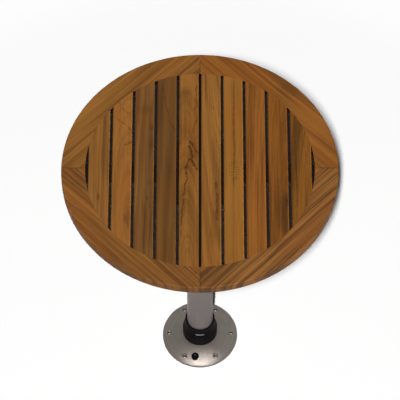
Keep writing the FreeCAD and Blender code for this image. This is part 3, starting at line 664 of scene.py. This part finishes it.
def fix_boards(steel, recess):
    """Countersunk screws up through the battens into the slats and the ring."""
    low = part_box("cross_batten")[0].z
    head_radius, rim_radius, shank_radius = 0.0038, 0.0034, 0.0018
    proud, head_depth, length = 0.0002, 0.002, 0.012
    outline = [(0, low - proud), (rim_radius, low - proud), (head_radius, low),
               (shank_radius, low + head_depth), (shank_radius, low + length), (0, low + length)]
    heads = bmesh.new()
    recesses = bmesh.new()
    for spot in batten_screw_spots():
        lathe(heads, outline, spot)
        # Each recess is a thin dark inlay: painted shade.
        cross_recess(recesses, spot, low - proud - 0.00005, reach=0.0019, width=0.00045, depth=0.00005)
    piece("batten_screws", heads, steel, "upper")
    piece("batten_screw_recess_shade", recesses, recess, "upper")


def mark_bracket_screws(recess):
    """Driver recesses of the bracket's screws, as thin dark inlays of painted shade."""
    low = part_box("bracket_screws")[0].z
    screw_count, circle_radius = 8, 0.060
    recesses = bmesh.new()
    for i in range(screw_count):
        angle = 2 * math.pi / screw_count * i
        spot = (circle_radius * math.cos(angle), circle_radius * math.sin(angle))
        cross_recess(recesses, spot, low - 0.00005, reach=0.0025, width=0.0006, depth=0.00004)
    piece("bracket_screw_recess_shade", recesses, recess, "upper")


def coil_spring(steel):
    """The button's return spring, drawn as a coil in place of the part's spring."""
    low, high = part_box("button_spring")
    wire = 0.00045
    radius = (high.x - low.x) / 2 - wire
    centre_x, centre_y = (low.x + high.x) / 2, (low.y + high.y) / 2
    turns, steps, sides = 3, 36, 10
    coil = bmesh.new()
    loops = []
    for i in range(turns * steps + 1):
        angle = 2 * math.pi * i / steps
        rise = low.z + wire + (high.z - low.z - 2 * wire) * i / (turns * steps)
        loop = []
        for j in range(sides):
            tilt = 2 * math.pi * j / sides
            reach = radius + wire * math.cos(tilt)
            loop.append(coil.verts.new((centre_x + reach * math.cos(angle),
                                        centre_y + reach * math.sin(angle),
                                        rise + wire * math.sin(tilt))))
        loops.append(loop)
    for first, second in zip(loops, loops[1:]):
        for j in range(sides):
            k = (j + 1) % sides
            coil.faces.new((first[j], second[j], second[k], first[k])).smooth = True
    coil.faces.new(loops[0])
    coil.faces.new(list(reversed(loops[-1])))
    spring = piece("button_return_coil", coil, steel, "base")
    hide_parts("button_spring")
    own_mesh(spring)


def ring_button(plastic):
    """Raised grip ring on the button's cap."""
    low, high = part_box("release_button")
    centre = ((low.x + high.x) / 2, (low.y + high.y) / 2)
    inner, outer, rounding, rise = 0.0013, 0.0022, 0.0002, 0.0004
    foot, shoulder, crest = high.z - rise, high.z + rise - rounding, high.z + rise
    outline = [(inner, foot), (outer, foot), (outer, shoulder), (outer - rounding, crest),
               (inner + rounding, crest), (inner, shoulder), (inner, foot)]
    ring = bmesh.new()
    lathe(ring, outline, centre, steps=32)
    bmesh.ops.remove_doubles(ring, verts=ring.verts, dist=0.000001)
    piece("button_grip_ring", ring, plastic, "button")


def mark_socket():
    """Plain index mark, a thin pad print, on the front of the socket's lip."""
    low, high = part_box("base_bush")
    inner, outer = high.x - 0.00005, high.x + 0.00005
    middle = high.z - 0.0215
    half_height = 0.0014
    half_angle = 0.30
    steps = 16
    mark = bmesh.new()
    rows = []
    for i in range(steps + 1):
        share = i / steps * 2 - 1
        angle = -math.pi / 2 + share * half_angle
        rise = half_height * math.sqrt(max(0.02, 1 - share ** 8))
        corners = ((inner, -rise), (outer, -rise), (outer, rise), (inner, rise))
        rows.append([mark.verts.new((radius * math.cos(angle), radius * math.sin(angle), middle + height))
                     for radius, height in corners])
    for left, right in zip(rows, rows[1:]):
        for j in range(4):
            k = (j + 1) % 4
            mark.faces.new((left[j], right[j], right[k], left[k]))
    mark.faces.new(list(reversed(rows[0])))
    mark.faces.new(rows[-1])
    piece("socket_index_mark", mark, pale_mark(), "base")


# ------------------------------------------------------------------ light, floor and camera
def seen(finish):
    """1 for rays that show the background: straight, mirrored and refracted ones."""
    path = [finish.add("ShaderNodeLightPath", output=name)
            for name in ("Is Camera Ray", "Is Glossy Ray", "Is Transmission Ray")]
    return path[0].at_least(path[1]).at_least(path[2])


def floor_paint():
    """White where it is seen and greyer where it throws light back; farther off it is simply white."""
    finish = material("studio_floor_paint")
    background = seen(finish)
    x, y, z = finish.axes()
    far = (x * x + y * y).root().ramp(lit_floor_radius, white_floor_radius) * background
    white = finish.blend(background, grey(floor_bounce), grey(1.0))
    near = finish.add("ShaderNodeBsdfDiffuse", None, {"Color": white})
    glow = finish.add("ShaderNodeEmission", None, {"Strength": 1.0})
    shader = finish.add("ShaderNodeMixShader", None, {0: far, 1: near, 2: glow})
    return finish.end("ShaderNodeOutputMaterial", shader)


def make_floor():
    """Plain floor, a hair below the deck plate."""
    mesh = bmesh.new()
    mesh.faces.new([mesh.verts.new((x * floor_reach, y * floor_reach, -floor_gap))
                    for x, y in ((-1, -1), (1, -1), (1, 1), (-1, 1))])
    mesh_object("studio_floor", mesh, floor_paint())


def make_world():
    """White behind everything, and faint where it lights a surface."""
    finish = Finish(bpy.data.worlds.new("studio_air"))
    strength = seen(finish) * (1.0 - air_light) + air_light
    air = finish.add("ShaderNodeBackground", None, {"Color": grey(1.0), "Strength": strength})
    bpy.context.scene.world = finish.end("ShaderNodeOutputWorld", air)


def make_soft_box():
    """Tall oval soft box; its light is as strong on the floor as on the table top."""
    data = bpy.data.lights.new("key_soft_box", "AREA")
    data.shape = "ELLIPSE"
    data.size = box_width
    data.size_y = box_length
    data.energy = box_power
    finish = Finish(data)
    even = finish.add("ShaderNodeLightFalloff", None, {"Strength": box_strength}, "Constant")
    finish.end("ShaderNodeOutputLight", finish.add("ShaderNodeEmission", None, {"Strength": even}))
    lamp = add_object("key_soft_box", data)
    lamp.location = (-box_aside, -box_distance, box_height)
    lamp.rotation_euler = (lamp.location - Vector((0.0, 0.0, top_face))).to_track_quat("Z", "Y").to_euler()


def make_back_lamp():
    """Low soft lamp far behind the table, which no gloss mirrors."""
    data = bpy.data.lights.new("back_fill_lamp", "SUN")
    data.energy = back_strength
    data.angle = math.radians(back_spread)
    lamp = add_object("back_fill_lamp", data)
    rise = math.radians(back_elevation)
    lamp.rotation_euler = Vector((0.0, math.cos(rise), math.sin(rise))).to_track_quat("Z", "Y").to_euler()
    lamp.visible_glossy = False


def make_camera():
    """Camera in front of the table, looking down on it."""
    data = bpy.data.cameras.new("camera")
    data.sensor_width = 36.0
    data.lens = camera_focal / picture_width * data.sensor_width
    data.clip_end = 200.0
    camera = add_object("camera", data)
    camera.location = (0.0, -camera_distance, camera_height)
    camera.rotation_euler = (math.radians(90 - camera_tilt), 0.0, 0.0)
    bpy.context.scene.camera = camera


# The batten screws and the coil keep the plain steels that come with the part.
plain_stainless = bpy.data.materials["stainless_steel"]
plain_spring_steel = bpy.data.materials["spring_steel"]
stainless = bright_steel("machined_stainless_steel", colour(196, 193, 188), roughness=0.26)
# Dark steel for the driver recesses: painted shade in them.
recess_shade_steel = bright_steel("driver_recess_painted_shade", colour(62, 60, 58), roughness=0.45)
dress_slats()
dress_ring()
dress_battens()
dress_column(stainless)
fix_boards(plain_stainless, recess_shade_steel)
mark_bracket_screws(recess_shade_steel)
coil_spring(plain_spring_steel)
ring_button(grey_ring_plastic())
mark_socket()
make_floor()
make_world()
make_soft_box()
make_back_lamp()
make_camera()
bpy.context.scene.view_settings.view_transform = "Standard"
